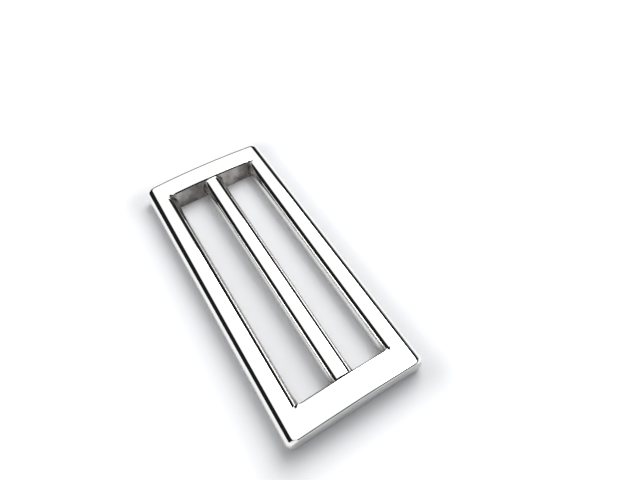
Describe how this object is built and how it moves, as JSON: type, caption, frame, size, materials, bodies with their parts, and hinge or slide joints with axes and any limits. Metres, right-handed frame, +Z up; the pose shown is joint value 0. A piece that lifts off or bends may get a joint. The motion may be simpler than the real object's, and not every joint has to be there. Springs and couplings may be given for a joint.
{
  "type": "buckle slider",
  "caption": "Rectangular polished metal strap slider: end blocks join rounded side rails and a centre bar, leaving two long slots for flat webbing.",
  "frame": {"origin": "centre of the footprint, on the surface that the slider lies on", "axes": "+X along the bars towards the near end block, +Y across the bars towards the right side rail, +Z up through the thickness"},
  "size_m": [0.0594, 0.0262, 0.0047],
  "materials": {
    "end_block_metal": "polished top, satin end and slot walls",
    "bar_metal": "mirror polished"
  },
  "bodies": {
    "root": {"near_end_block": "end_block_metal", "far_end_block": "end_block_metal", "left_side_rail": "bar_metal", "right_side_rail": "bar_metal", "centre_bar": "bar_metal"}
  },
  "joints": []
}
